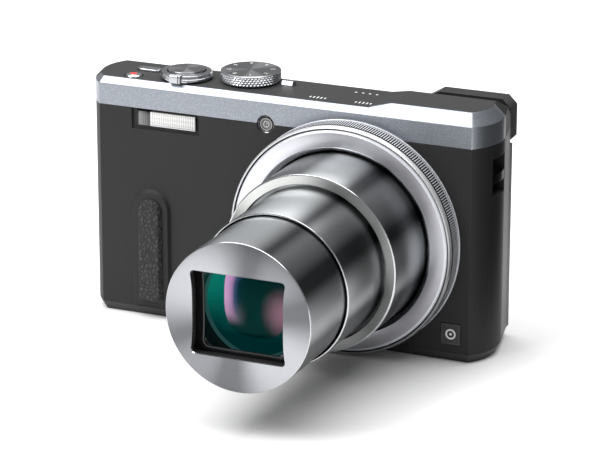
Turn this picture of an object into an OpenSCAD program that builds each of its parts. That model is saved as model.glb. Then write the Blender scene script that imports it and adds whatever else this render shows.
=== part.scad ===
// Compact travel-zoom camera, lens run out. Units are millimetres.
// The origin is the middle of the base, +Z is up and the lens looks along -Y.

/* [Body] */
// Width across the rounded ends
body_w = 110.6; // [108:0.1:114]
// Depth from the front face to the back face
body_d = 23; // [22.6:0.1:24]
// Height of the deck that carries the dials
deck_z = 63.3; // [63:0.1:64]
// Height of the raised deck over the viewfinder
raised_z = 64.7; // [64.3:0.1:65.2]
// Radius of the rounded ends, seen from above
end_r = 13.2; // [12.8:0.1:13.6]
// Height where the silver band starts
band_z = 56; // [55.5:0.1:56.3]
// Height of the base plate's sloping edge
base_h = 2.4; // [2.2:0.1:2.6]
// Thickness of the covers
wall = 1.3; // [1.2:0.1:1.4]

/* [Lens] */
// Distance of the lens axis from the middle of the body
lens_x = 18.5; // [17.5:0.1:19]
// Height of the lens axis
lens_z = 30; // [29.95:0.05:30.3]
// How far the front of the collar stands in front of the body
collar_out = 6.6; // [6.2:0.1:7]
// Outer radius of the control ring
ring_r = 29.8; // [29.5:0.1:29.9]
// Outer radius of the outer barrel
outer_r = 22.85; // [22.7:0.05:23]
// Outer radius of the middle barrel
middle_r = 19.4; // [19.35:0.05:19.6]
// Outer radius of the inner barrel
inner_r = 18.55; // [18.5:0.05:18.6]
// How far the outer barrel runs out
outer_run = 18.6; // [17:0.2:19]
// How far the middle barrel runs out of the outer one
middle_run = 21.2; // [18:0.2:21.2]
// How far the inner barrel runs out of the middle one
inner_run = 20.7; // [18:0.1:20.8]

/* [Controls] */
// Radius of the mode dial
dial_r = 7.8; // [7.4:0.1:8]
// Radius of the zoom lever's ring
lever_r = 6.8; // [6.5:0.1:7]
// Radius of the shutter button
shutter_r = 4.7; // [4.4:0.1:4.75]
// Radius of the rear dial
rear_dial_r = 8.5; // [8:0.1:8.6]
// Radius of the round rear buttons
key_r = 2.4; // [2.2:0.1:2.6]

/* [Base] */
// Distance of the tripod socket from the middle
socket_x = 42; // [41:0.5:43]
// Radius of the tripod socket's thread hole
thread_r = 2.6; // [2.5:0.05:2.65]
// Depth of the tripod socket's thread hole
thread_depth = 6; // [5:0.5:6]

/* [Hidden] */
$fn = 64;
front_y = -body_d / 2;
back_y = body_d / 2;
end_x = body_w / 2 - end_r;
end_y = back_y - end_r;
bevel = 1.6;
shoulder_z = deck_z - bevel;
raised_in = raised_z - shoulder_z;
deck_t = 1.2;
lip = 0.8;
seam_y = 2;
corner_x = end_x + sqrt(pow(end_r, 2) - pow(seam_y - end_y, 2));
ramp_x = [23.1, 28.7];
slope_y = 5.4;
slope_fall = 0.73;
slope_wall = 1.5;
face_y = front_y - collar_out;
running = 0.08;
gap = 0.4;
flange_r = 29.9;
flange_t = 0.45;
ring_back_y = front_y - flange_t - 0.25;
collar_r = 26.6;
housing_y = [-9, 8];
housing_r = 26.4;
cam_r = 25;
outer_front = face_y - outer_run;
middle_front = outer_front - middle_run;
inner_front = middle_front - inner_run;
barrel_len = 24.6;
inner_len = 23;
rim_t = 1.6;
outer_bore = outer_r - 1;
middle_bore = middle_r - 0.5;
mouth_r = 20.25;
inner_bore = inner_r - 0.7;
window = [24.3, 20.3];
window_corner = 1.1;
bezel_t = 1.6;
lens_r = 13;
leaf_w = 25.4;
leaf_h = 5.4;
leaf_t = 0.3;
leaf_r = inner_bore - 0.35;
screen_x = [-17, 52.7];
screen_z = [1.5, 51.3];
screen_out = 1.7;
hump_x = [29.7, 52.6];
hump_z = [51.5, 62.9];
hump_out = 5;
wheel_at = [31, 13.5, 55.6];
wheel_r = 3.3;
flash_x = [-41.75, -22.8];
flash_z = [50.6, 56];
flash_pane = [-40.2, -23.6, 51.6, 55.4];
lamp_at = [-4.3, 55.9];
lamp_r = 2.35;
grip_x = -36.5;
grip_r = 5.7;
grip_top = 29.3;
grip_out = 1;
pad_r = 3.6;
pad_z = [5, 29];
badge_at = [46.25, 7.4];
dial_at = [-13.6, 0.3];
lever_at = [-29.8, -3.6];
power_at = [-41.5, -1];
record_at = [-43.3, -6.9];
rear_dial_at = [-33, 20];
keys = [[-24.5, 34.5], [-41.5, 34.5], [-24.5, 6.8], [-41.5, 6.8], [23.5, 53.75]];
small_key_r = 1.8;
key_floor = 0.9;
key_out = 0.6;
bay_x = [-47.5, -16.9];
bay_y = [-8, 6.8];
door_t = 1.2;
pin_r = 0.3;
flap_z = [18, 36];
flap_y = [-7.4, 0.3];
flap_hinge = [end_x + sqrt(pow(end_r - 0.6, 2) - pow(flap_y[1] - end_y, 2)), flap_y[1]];
lug_x = end_x + end_r - 3.6;
lug_y = [-6, 1];
lug_z = [42.7, 52.5];
lug_bar_z = [45.9, 48.2];
screw_spots = [[-9, -6], [-9, 7.4], [24, 7.4], [50.2, 4]];

// ---- Shapes that repeat ----

// A box between two corners
module block(low, high) {
    translate(low) cube(high - low);
}

// A prism whose outline is in Y and Z, from one x to another
module across(x0, x1, outline) {
    translate([x0, 0, 0]) rotate([90, 0, 90]) linear_extrude(x1 - x0) polygon(outline);
}

// A prism whose outline is in X and Z, from one y to another
module through(y0, y1, outline) {
    translate([0, y1, 0]) rotate([90, 0, 0]) linear_extrude(y1 - y0) polygon(outline);
}

// A round bar along Y between two depths
module rod_y(at, y0, y1, r, r2 = -1) {
    translate([at[0], y0, at[1]]) rotate([-90, 0, 0])
        cylinder(h = y1 - y0, r1 = r, r2 = r2 < 0 ? r : r2);
}

// A ring turned about the lens axis from an outline in radius and y
module turned(outline) {
    translate([lens_x, 0, lens_z]) rotate([-90, 0, 0]) rotate_extrude() polygon(outline);
}

// A slice of the body between two heights, drawn in by i0 at its foot and i1 at its top
module slab(z0, z1, i0 = 0, i1 = 0) {
    intersection() {
        union() {
            for (side = [-1, 1]) translate([side * end_x, end_y, z0])
                cylinder(h = z1 - z0, r1 = end_r - i0, r2 = end_r - i1);
            across(-end_x, end_x, [
                [end_y - end_r + i0, z0], [end_y + end_r - i0, z0],
                [end_y + end_r - i1, z1], [end_y - end_r + i1, z1]]);
        }
        across(-body_w, body_w, [
            [front_y + i0, z0], [body_d, z0], [body_d, z1], [front_y + i1, z1]]);
    }
}

// A flat bar along X with rounded ends, centred on a point, from one height to another
module pill(at, len, wide, z0, z1) {
    for (side = [-1, 1]) translate([at[0] + side * (len - wide) / 2, at[1], z0])
        cylinder(h = z1 - z0, r = wide / 2);
    block([at[0] - (len - wide) / 2, at[1] - wide / 2, z0],
        [at[0] + (len - wide) / 2, at[1] + wide / 2, z1]);
}

// The light path to the eyepiece through the covers and the front of its frame
module eye_hole() {
    block([37.5, back_y - wall - 0.5, 53.4], [45.5, back_y + 1.2, 57.4]);
}

// The slot that lets the dioptre wheel turn through the back of the covers
module wheel_slot() {
    translate([wheel_at[0] - 1, wheel_at[1], wheel_at[2]]) rotate([0, 90, 0])
        cylinder(h = 2, r = wheel_r + 0.3);
}

// A rectangle with rounded corners round the lens axis, as a solid between two depths
module lens_window(size, corner, y0, y1) {
    half_w = size[0] / 2;
    half_h = size[1] / 2;
    block([lens_x - half_w + corner, y0, lens_z - half_h], [lens_x + half_w - corner, y1, lens_z + half_h]);
    block([lens_x - half_w, y0, lens_z - half_h + corner], [lens_x + half_w, y1, lens_z + half_h - corner]);
    for (i = [-1, 1]) for (j = [-1, 1])
        rod_y([lens_x + i * (half_w - corner), lens_z + j * (half_h - corner)], y0, y1, corner);
}

// ---- Covers ----

// The part of the covers that squares off the display's end, between two heights
module rear_corner(z0, z1) {
    translate([0, 0, z0]) linear_extrude(z1 - z0) polygon([
        [end_x, seam_y], [corner_x, seam_y], [screen_x[1], back_y], [end_x, back_y]]);
}

// A raised or sunk tongue with a round top on the front, drawn in by slope at its front
module tongue(r, z0, z1, y0, y1, slope) {
    rod_y([grip_x, z1], y0, y1, r - slope, r);
    translate([0, 0, z0]) linear_extrude(z1 - z0) polygon([
        [grip_x - r + slope, y0], [grip_x + r - slope, y0], [grip_x + r, y1], [grip_x - r, y1]]);
}

module flap_slice(r0, r1, z0, z1, y0, y1) {
    intersection() {
        difference() {
            translate([-end_x, end_y, z0]) cylinder(h = z1 - z0, r = r1);
            translate([-end_x, end_y, z0 - 1]) cylinder(h = z1 - z0 + 2, r = r0);
        }
        block([-body_w, y0, z0], [-end_x - 2, y1, z1]);
    }
}

module front_cover() {
    color([0.16, 0.16, 0.17]) difference() {
        union() {
            difference() {
                slab(base_h, band_z);
                slab(base_h - 1, band_z + 1, wall, wall);
            }
            tongue(grip_r, base_h + 1, grip_top, front_y - grip_out, front_y + 0.4, 0.8);
            intersection() {
                slab(base_h, band_z);
                block([lug_x - 1, lug_y[0] - 1, lug_z[0] - 1], [body_w, lug_y[1] + 1, lug_z[1] + 1]);
            }
        }
        block([-body_w, seam_y, 0], [body_w, body_d, band_z + 1]);
        rod_y([lens_x, lens_z], front_y - 1, front_y + 3, collar_r + 0.1);
        block([flash_x[0], front_y - 1, flash_z[0]], [flash_x[1], front_y + 0.6, flash_z[1] + 1]);
        block([flash_pane[0], front_y - 1, flash_pane[2]], [flash_pane[1], front_y + 3, flash_z[1] + 1]);
        rod_y(lamp_at, front_y - 1, front_y + 3, lamp_r);
        block([badge_at[0] - 2.7, front_y - 1, badge_at[1] - 2.9],
            [badge_at[0] + 2.7, front_y + 0.3, badge_at[1] + 2.9]);
        block([lug_x, lug_y[0], lug_z[0]], [body_w, lug_y[1], lug_z[1]]);
        flap_slice(end_r - wall - 1, end_r + 1, flap_z[0] - 0.15, flap_z[1] + 0.15,
            flap_y[0] - 0.15, flap_y[1] + 0.85);
    }
}

// The space over the sloping back edge of the top, lowered by a drop
module over_slope(drop) {
    foot_z = deck_z - (body_d - slope_y) * slope_fall - drop;
    across(-body_w, body_w, [
        [slope_y - 10, deck_z + 10 * slope_fall - drop], [body_d, foot_z],
        [body_d, body_w], [slope_y - 10, body_w]]);
}

// The whole cap over the band's lower edge, before it is split
module cap_shell() {
    difference() {
        union() {
            slab(band_z, shoulder_z);
            intersection() {
                rear_corner(band_z, raised_z);
                through(-body_d, body_d, [
                    [end_x, band_z], [corner_x, band_z], [corner_x, shoulder_z],
                    [corner_x - raised_in, raised_z], [end_x, raised_z]]);
            }
            intersection() {
                slab(shoulder_z, raised_z, 0, raised_in);
                through(-body_d, body_d, [
                    [-body_w, band_z], [body_w, band_z], [body_w, raised_z],
                    [ramp_x[1], raised_z], [ramp_x[0], deck_z], [-body_w, deck_z]]);
            }
        }
        difference() {
            slab(band_z - 1, deck_z - deck_t, wall, wall);
            over_slope(slope_wall);
        }
        over_slope(0);
        rod_y([lens_x, lens_z], front_y - 1, front_y + 3, 27);
        rod_y(lamp_at, front_y - 1, front_y + 3, lamp_r);
    }
}

// The space that belongs to the silver band: the front, and round the right-hand end
module band_zone() {
    difference() {
        union() {
            block([-body_w, -body_d, 0], [body_w, -7.5, body_w]);
            block([end_x, -body_d, 0], [body_w, seam_y, body_w]);
        }
        slab(0, deck_z - lip, bevel, bevel);
        slab(deck_z - lip, body_w, raised_in, raised_in);
        intersection() {
            slab(0, deck_z, bevel, bevel);
            block([-body_w, -body_d, 0], [ramp_x[0], body_d, body_w]);
        }
    }
}

module top_band() {
    color([0.66, 0.68, 0.71]) intersection() {
        cap_shell();
        band_zone();
    }
}

module top_plate() {
    color([0.25, 0.25, 0.26]) difference() {
        union() {
            difference() {
                cap_shell();
                band_zone();
            }
            translate([lever_at[0], lever_at[1], deck_z]) cylinder(h = 1.2, r = lever_r - 1.8 - running);
        }
        translate([dial_at[0], dial_at[1], 50]) cylinder(h = 20, r = 2 + running);
        translate([lever_at[0], lever_at[1], 50]) cylinder(h = 20, r = 2 + running);
        pill(power_at, 6.9, 3.3, 50, 70);
        translate([record_at[0], record_at[1], 50]) cylinder(h = 20, r = 2.5);
        eye_hole();
        for (i = [-1.5:1.5]) translate([17.8 + i * 1.9, 1.4, 50]) cylinder(h = 20, r = 0.4);
        for (x = [8, 20.3]) for (i = [-2:2]) block([x + i - 0.2, -7.6, 60], [x + i + 0.2, -6, 70]);
        wheel_slot();
    }
}

module rear_cover() {
    color([0.15, 0.15, 0.16]) difference() {
        union() {
            difference() {
                union() {
                    slab(base_h, band_z);
                    rear_corner(base_h, band_z);
                }
                slab(base_h - 1, band_z + 1, wall, wall);
            }
            block([screen_x[0], back_y - wall, screen_z[0] + 1],
                [screen_x[1], back_y + screen_out, screen_z[1]]);
        }
        block([-body_w, -body_d, 0], [body_w, seam_y, band_z + 1]);
        block([screen_x[0] + 1.5, back_y + 0.6, screen_z[0] + 2],
            [screen_x[1] - 1.2, body_d, screen_z[1] - 1]);
        block([-14, 5, 4.5], [50.4, body_d, 49.8]);
        rod_y(rear_dial_at, back_y - key_floor, body_d, rear_dial_r + 0.3);
        for (i = [0:3]) rod_y(keys[i], back_y - key_floor, body_d, key_r + 0.25);
        rod_y(keys[4], back_y - key_floor, body_d, small_key_r + 0.25);
        eye_hole();
        wheel_slot();
    }
}

module base_plate() {
    color([0.14, 0.14, 0.15]) difference() {
        slab(0, base_h, 1.25, 0);
        slab(door_t, base_h + 1, 2.6, 2);
        block([bay_x[0] - 0.15, bay_y[0] - 0.15, -1], [bay_x[1] + 0.75, bay_y[1] + 0.15, 5]);
        translate([socket_x, 0, -1]) cylinder(h = 5, r = 5.6);
        translate([bay_x[1], bay_y[0] - 1.5, 0.6]) rotate([-90, 0, 0]) cylinder(h = 17.8, r = pin_r);
        for (spot = screw_spots) translate([spot[0], spot[1], -1]) {
            cylinder(h = 1.7, r = 1.4);
            cylinder(h = 5, r = 0.65);
        }
    }
}

// ---- Front details ----

module grip_pad() {
    color([0.1, 0.1, 0.11]) tongue(pad_r, pad_z[0], pad_z[1], front_y - 2.3, front_y - grip_out, 0.9);
}

module badge_plate() {
    color([0.12, 0.12, 0.13]) block([badge_at[0] - 2.6, front_y - 0.1, badge_at[1] - 2.8],
        [badge_at[0] + 2.6, front_y + 0.3, badge_at[1] + 2.8]);
}

module flash_window() {
    color([0.93, 0.94, 0.92]) block([flash_pane[0] + 0.1, front_y + 0.1, flash_pane[2] + 0.1],
        [flash_pane[1] - 0.1, front_y + 1.2, flash_pane[3]]);
}

module flash_reflector() {
    color([0.8, 0.8, 0.8]) difference() {
        block([flash_pane[0] + 0.1, front_y + 1.3, flash_pane[2] + 0.1],
            [flash_pane[1] - 0.1, -5.5, flash_pane[3]]);
        across(flash_pane[0] + 1, flash_pane[1] - 1, [
            [front_y, flash_pane[2] + 0.4], [front_y, flash_pane[3] - 0.3],
            [-6.5, flash_pane[3] - 1.2], [-6.5, flash_pane[2] + 1.4]]);
    }
}

module flash_capacitor() {
    color([0.12, 0.14, 0.3]) translate([-48, 1, 50.8]) rotate([0, 90, 0]) cylinder(h = 26, r = 4.2);
}

module focus_lamp_lens() {
    color([0.3, 0.3, 0.3]) {
        rod_y(lamp_at, front_y + 0.3, front_y + 2.2, lamp_r - 0.1);
    }
}

// ---- Lens, fixed parts ----

module lens_collar() {
    color([0.68, 0.69, 0.71]) turned([
        [outer_r + 0.45, -9.2], [outer_r + 0.45, face_y + 1.2], [24.4, face_y], [28.2, face_y],
        [28.8, face_y + 0.5], [28.8, face_y + 1.3], [collar_r, face_y + 1.3],
        [collar_r, front_y - flange_t],
        [flange_r, front_y - flange_t], [flange_r, front_y], [collar_r, front_y], [collar_r, -9.2]]);
}

module lens_housing() {
    color([0.1, 0.1, 0.1]) difference() {
        turned([[cam_r, housing_y[0]], [housing_r, housing_y[0]], [housing_r, housing_y[1]],
            [0, housing_y[1]], [0, housing_y[1] - 1], [cam_r, housing_y[1] - 1]]);
        block([lens_x - 5, 5, lens_z - 4], [lens_x + 5, 10, lens_z + 4]);
    }
}

module cam_ring() {
    color([0.55, 0.55, 0.56]) turned([
        [outer_r + gap, -8.6], [cam_r - running, -8.6], [cam_r - running, 5.5], [outer_r + gap, 5.5]]);
}

module zoom_motor() {
    color([0.6, 0.6, 0.62]) rod_y([-5.5, 51.2], -8.5, 6, 3.4);
}

module sensor_board() {
    color([0.1, 0.35, 0.2]) {
        block([lens_x - 15, housing_y[1], lens_z - 13], [lens_x + 15, housing_y[1] + 1.2, lens_z + 13]);
        block([lens_x - 4.5, housing_y[1] - 0.9, lens_z - 3.5], [lens_x + 4.5, housing_y[1], lens_z + 3.5]);
    }
}

// ---- Lens, moving parts ----

module barrel_outer() {
    color([0.45, 0.46, 0.48]) turned([
        [mouth_r, outer_front], [outer_r - 0.3, outer_front], [outer_r, outer_front + 0.3],
        [outer_r, outer_front + barrel_len], [outer_bore, outer_front + barrel_len],
        [outer_bore, outer_front + rim_t], [mouth_r, outer_front + rim_t]]);
}

module barrel_middle() {
    foot = middle_front + barrel_len;
    color([0.45, 0.46, 0.48]) turned([
        [middle_bore, middle_front + 0.2], [middle_bore + 0.2, middle_front], [middle_r - 0.2, middle_front],
        [middle_r, middle_front + 0.2], [middle_r, foot - 1.5], [outer_bore - gap, foot - 1.5],
        [outer_bore - gap, foot], [middle_bore, foot]]);
}

module barrel_inner() {
    color([0.45, 0.46, 0.48]) turned([
        [inner_bore, inner_front + bezel_t], [inner_r, inner_front + bezel_t],
        [inner_r, inner_front + inner_len], [inner_bore, inner_front + inner_len]]);
}

module front_bezel() {
    color([0.72, 0.72, 0.74]) difference() {
        turned([[0, inner_front], [inner_r - 0.3, inner_front], [inner_r, inner_front + 0.3],
            [inner_r, inner_front + bezel_t], [0, inner_front + bezel_t]]);
        lens_window(window, window_corner, inner_front - 1, inner_front + 5);
    }
}

module lens_surround() {
    y0 = inner_front + 3.4;
    color([0.05, 0.05, 0.05]) difference() {
        turned([[0, y0], [inner_bore, y0], [inner_bore, y0 + 8], [lens_r + 0.1, y0 + 8],
            [lens_r + 0.1, y0 + 1.2], [0, y0 + 1.2]]);
        lens_window([22, 18], 1, y0 - 1, y0 + 3);
    }
}

module front_lens() {
    y0 = inner_front + 5;
    dome = 32;
    steps = 8;
    color([0.1, 0.35, 0.32]) turned(concat(
        [for (i = [0:steps]) let (r = i * lens_r / steps) [r, y0 + dome - sqrt(pow(dome, 2) - pow(r, 2))]],
        [[lens_r, y0 + 6], [0, y0 + 6]]));
}

// One leaf of the lens barrier, above (1) or below (-1) the window, open
module leaf(side, y0) {
    low = window[1] / 2 + 0.2;
    color([0.08, 0.08, 0.08]) intersection() {
        rod_y([lens_x, lens_z], y0, y0 + leaf_t, leaf_r);
        translate([lens_x - leaf_w / 2, y0, lens_z + (side > 0 ? low : -low - leaf_h)])
            cube([leaf_w, leaf_t, leaf_h]);
    }
}

module blade_upper_front() { leaf(1, inner_front + bezel_t + 0.3); }
module blade_upper_rear() { leaf(1, inner_front + bezel_t + 0.9); }
module blade_lower_front() { leaf(-1, inner_front + bezel_t + 0.3); }
module blade_lower_rear() { leaf(-1, inner_front + bezel_t + 0.9); }

module control_ring() {
    color([0.62, 0.64, 0.67]) turned([
        [collar_r + running, ring_back_y], [ring_r, ring_back_y], [ring_r, face_y + 0.9],
        [29.5, face_y + 0.1], [29.1, face_y + 0.1], [29.1, face_y + 1.6],
        [collar_r + running, face_y + 1.6]]);
}

// ---- Inside ----

module main_board() {
    color([0.1, 0.35, 0.2]) block([-47.5, 7.4, 6], [-13.2, 8.4, 58]);
}

module chassis() {
    color([0.6, 0.6, 0.6]) {
        block([-12.4, -8, 3], [-11.6, 9.4, 46]);
        block([-12.4, 9.4, 5], [50, 10, 49]);
        block([-50, 2.2, 3], [-12.4, 3.0, 44]);
    }
}

module display_panel() {
    color([0.05, 0.05, 0.06]) block([-13.6, 10.1, 5], [50, 12, 49.4]);
}

module display_cover() {
    color([0.03, 0.03, 0.04]) block([screen_x[0] + 1.6, 12.15, screen_z[0] + 2.1],
        [screen_x[1] - 1.3, back_y + screen_out, screen_z[1] - 1.1]);
}

module battery() {
    color([0.15, 0.15, 0.17]) block([-45, -7.4, 1.5], [-14.5 - 2.6, 1.9, 44]);
}

module memory_card() {
    color([0.1, 0.15, 0.3]) block([-43, 3.6, 1.6], [-19, 5.7, 33.6]);
}

module speaker() {
    color([0.15, 0.15, 0.15]) translate([17.8, 0.4, 58.4]) cylinder(h = 3.6, r = 4.2);
}

module tripod_socket() {
    color([0.7, 0.7, 0.7]) difference() {
        translate([socket_x, 0, 0]) cylinder(h = 7.5, r = 5.5);
        translate([socket_x, 0, -1]) cylinder(h = thread_depth + 1, r = thread_r);
    }
}

module screws() {
    color([0.3, 0.3, 0.3]) for (spot = screw_spots) translate([spot[0], spot[1], 0]) {
        translate([0, 0, 0.1]) cylinder(h = 0.6, r = 1.3);
        translate([0, 0, 0.7]) cylinder(h = 3.2, r = 0.6);
    }
}

module data_socket() {
    color([0.7, 0.7, 0.7]) difference() {
        block([-52.6, -5.6, 25.4], [-47.6, 1.4, 28.2]);
        block([-53, -5.1, 25.9], [-48.6, 0.9, 27.7]);
    }
}

module strap_lug() {
    color([0.6, 0.6, 0.6]) intersection() {
        translate([end_x, end_y, lug_bar_z[0]]) difference() {
            cylinder(h = lug_bar_z[1] - lug_bar_z[0], r = end_r - 0.1);
            translate([0, 0, -1]) cylinder(h = 5, r = end_r - 1.3);
        }
        block([lug_x, lug_y[0], lug_z[0]], [body_w, lug_y[1], lug_z[1]]);
    }
}

// ---- Viewfinder ----

module viewfinder_housing() {
    color([0.08, 0.08, 0.08]) difference() {
        intersection() {
            block([35, -2, 52.2], [48, back_y, 61.9]);
            slab(50, 62, wall + 0.1, wall + 0.1);
        }
        over_slope(slope_wall + 0.12);
        difference() {
            block([36, -1, 52.9], [47, body_d, 61.3]);
            over_slope(slope_wall + 0.9);
        }
    }
}

module eyepiece_frame() {
    cut = 2.2;
    color([0.06, 0.06, 0.06]) difference() {
        through(back_y, back_y + hump_out, [
            [hump_x[0], hump_z[0] + 1], [hump_x[0] + 1, hump_z[0]], [hump_x[1] - 1, hump_z[0]],
            [hump_x[1], hump_z[0] + 1], [hump_x[1], hump_z[1] - cut], [hump_x[1] - cut, hump_z[1]],
            [hump_x[0] + 3.5, hump_z[1]], [hump_x[0], hump_z[1] - 2]]);
        eye_hole();
        rod_y([41.5, 57], back_y + 0.9, back_y + 2.6, 4.6);
        block([36, back_y + 2.5, 53], [47, body_d, 61]);
        wheel_slot();
        translate([wheel_at[0] - 1.5, wheel_at[1], wheel_at[2]]) rotate([0, 90, 0])
            cylinder(h = 3, r = 0.8 + running);
    }
}

module eyepiece_lens() {
    color([0.3, 0.35, 0.45]) rod_y([41.5, 57], back_y + 1, back_y + 2.4, 4.55);
}

module dioptre_wheel() {
    color([0.1, 0.1, 0.1]) translate([wheel_at[0], wheel_at[1], wheel_at[2]]) rotate([0, 90, 0]) {
        translate([0, 0, -0.8]) cylinder(h = 1.6, r = wheel_r);
        translate([0, 0, -1.3]) cylinder(h = 2.6, r = 0.8);
    }
}

// ---- Top controls ----

module mode_dial() {
    color([0.55, 0.56, 0.58]) translate([dial_at[0], dial_at[1], 0]) {
        translate([0, 0, deck_z + 0.2]) cylinder(h = 2.5, r = dial_r);
        translate([0, 0, deck_z + 2.7]) cylinder(h = 0.4, r1 = dial_r, r2 = dial_r - 0.5);
        translate([0, 0, 60.5]) cylinder(h = deck_z - 60.3, r = 2);
    }
}

module dial_index() {
    color([0.8, 0.8, 0.82]) across(-5, -1.8, [
        [-0.4, deck_z], [2.4, deck_z], [1.8, deck_z + 1.1], [0.2, deck_z + 1.1]]);
}

module zoom_lever() {
    color([0.5, 0.5, 0.52]) translate([lever_at[0], lever_at[1], 0]) difference() {
        union() {
            translate([0, 0, deck_z + 0.2]) cylinder(h = 1.9, r = lever_r);
            translate([-1.6, -lever_r - 0.7, deck_z + 0.3]) cube([3.2, 2, 2]);
        }
        translate([0, 0, deck_z - 1]) cylinder(h = 4, r = lever_r - 1.8);
    }
}

module shutter_button() {
    color([0.6, 0.6, 0.62]) translate([lever_at[0], lever_at[1], 0]) {
        translate([0, 0, deck_z + 1.8]) cylinder(h = 0.9, r = shutter_r);
        translate([0, 0, 61]) cylinder(h = deck_z - 59.2, r = 2);
    }
}

module power_button() {
    color([0.75, 0.76, 0.78]) pill(power_at, 6.5, 2.9, 62.3, deck_z + 0.6);
}

module record_button() {
    color([0.75, 0.76, 0.78]) translate([record_at[0], record_at[1], 62.3])
        cylinder(h = deck_z - 61.8, r = 2.2);
}

// ---- Rear controls ----

module rear_dial() {
    color([0.2, 0.2, 0.21]) difference() {
        rod_y(rear_dial_at, back_y - 0.6, back_y + 1.3, rear_dial_r);
        rod_y(rear_dial_at, back_y - 1, back_y + 2, 4.9);
    }
}

module set_button() {
    color([0.16, 0.16, 0.17]) rod_y(rear_dial_at, back_y - 0.4, back_y + 1.1, 4.5);
}

module key(i, r = key_r) {
    color([0.16, 0.16, 0.17]) rod_y(keys[i], back_y - 0.4, back_y + key_out, r);
}

module playback_button() { key(0); }
module wireless_button() { key(1); }
module display_button() { key(2); }
module menu_button() { key(3); }
module viewfinder_button() { key(4, small_key_r); }

// ---- Doors ----

module hinge_pins() {
    color([0.7, 0.7, 0.7]) {
        translate([bay_x[1], bay_y[0] - 1.5, 0.6]) rotate([-90, 0, 0]) cylinder(h = 17.8, r = pin_r);
        translate([-flap_hinge[0], flap_hinge[1], flap_z[0] - 0.15])
            cylinder(h = flap_z[1] - flap_z[0] + 0.3, r = pin_r);
    }
}

module battery_door() {
    color([0.14, 0.14, 0.15]) difference() {
        union() {
            block([bay_x[0], bay_y[0], 0], [bay_x[1], bay_y[1], door_t]);
            translate([bay_x[1], bay_y[0], door_t / 2]) rotate([-90, 0, 0])
                cylinder(h = bay_y[1] - bay_y[0], r = door_t / 2);
        }
        translate([bay_x[1], bay_y[0] - 1, door_t / 2]) rotate([-90, 0, 0])
            cylinder(h = 20, r = pin_r + running);
        block([-46, -3.2, -1], [-40, 3.2, 2]);
    }
}

module door_lock() {
    color([0.5, 0.5, 0.5]) block([-45.8, -3, 0.15], [-42.8, 3, door_t - 0.1]);
}

module terminal_door() {
    color([0.14, 0.14, 0.15]) difference() {
        union() {
            flap_slice(end_r - 1.2, end_r, flap_z[0], flap_z[1], flap_y[0], flap_y[1]);
            translate([-flap_hinge[0], flap_hinge[1], flap_z[0]])
                cylinder(h = flap_z[1] - flap_z[0], r = 0.6);
        }
        translate([-flap_hinge[0], flap_hinge[1], 0]) cylinder(h = 60, r = pin_r + running);
    }
}

front_cover();
top_band();
top_plate();
rear_cover();
base_plate();
grip_pad();
badge_plate();
flash_window();
flash_reflector();
flash_capacitor();
focus_lamp_lens();
lens_collar();
lens_housing();
zoom_motor();
sensor_board();
main_board();
chassis();
display_panel();
display_cover();
viewfinder_housing();
eyepiece_frame();
eyepiece_lens();
speaker();
strap_lug();
battery();
memory_card();
tripod_socket();
dial_index();
screws();
hinge_pins();
data_socket();
barrel_outer();
barrel_middle();
barrel_inner();
front_bezel();
lens_surround();
front_lens();
blade_upper_front();
blade_upper_rear();
blade_lower_front();
blade_lower_rear();
control_ring();
cam_ring();
mode_dial();
zoom_lever();
shutter_button();
power_button();
record_button();
rear_dial();
set_button();
playback_button();
wireless_button();
display_button();
menu_button();
viewfinder_button();
dioptre_wheel();
battery_door();
door_lock();
terminal_door();
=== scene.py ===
"""Looks of a compact travel-zoom camera with its lens run out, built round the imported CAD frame.
Outlines below are in millimetres and everything is turned to metres as it is made."""
import math

import bmesh
import bpy
from mathutils import Matrix, Vector


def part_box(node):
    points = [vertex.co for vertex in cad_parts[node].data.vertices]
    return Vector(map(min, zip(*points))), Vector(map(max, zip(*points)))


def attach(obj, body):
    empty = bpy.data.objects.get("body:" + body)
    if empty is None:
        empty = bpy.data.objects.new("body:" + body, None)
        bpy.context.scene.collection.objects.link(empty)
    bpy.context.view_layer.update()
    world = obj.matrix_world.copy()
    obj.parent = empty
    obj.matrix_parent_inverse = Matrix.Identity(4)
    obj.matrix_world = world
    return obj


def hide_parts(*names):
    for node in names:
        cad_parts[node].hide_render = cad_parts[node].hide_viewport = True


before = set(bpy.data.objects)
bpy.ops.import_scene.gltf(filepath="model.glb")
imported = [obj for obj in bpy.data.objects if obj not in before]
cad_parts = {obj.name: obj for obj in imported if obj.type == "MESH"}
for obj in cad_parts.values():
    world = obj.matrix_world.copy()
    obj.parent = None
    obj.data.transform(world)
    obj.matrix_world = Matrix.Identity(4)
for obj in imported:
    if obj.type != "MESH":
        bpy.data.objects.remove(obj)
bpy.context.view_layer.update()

MM = 0.001
# Outside radii of the lens parts, and the length of a barrel, in millimetres.
RING_R, GROOVE_R, RIM_R = 29.8, 29.5, 29.1
OUTER_R, MIDDLE_R, INNER_R = 22.85, 19.4, 18.55
MOUTH_R = 20.25
GLASS_R = 12.9
BARREL_LEN = 24.6
AXES = {"X": (Vector((1, 0, 0)), Vector((0, 1, 0))), "Y": (Vector((0, 1, 0)), Vector((1, 0, 0))),
        "Z": (Vector((0, 0, 1)), Vector((1, 0, 0)))}


# ---- Places taken from the frame ----

def low(node):
    """Lowest corner of a CAD node, in millimetres."""
    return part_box(node)[0] / MM


def high(node):
    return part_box(node)[1] / MM


def middle(node):
    return (low(node) + high(node)) / 2


lens = middle("barrel_outer")
face_y = low("lens_collar").y
front_y = high("control_ring").y + 0.7
outer_y = low("barrel_outer").y
middle_y = low("barrel_middle").y
inner_y = low("front_bezel").y
deck_z = low("mode_dial").z + 2.8
dial = middle("mode_dial")
lever = middle("shutter_button")
record = middle("record_button")
power = middle("power_button")
lamp = middle("focus_lamp_lens")
badge = middle("badge_plate")
flash_low, flash_high = low("flash_window"), high("flash_window")
wheel = middle("rear_dial")


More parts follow.
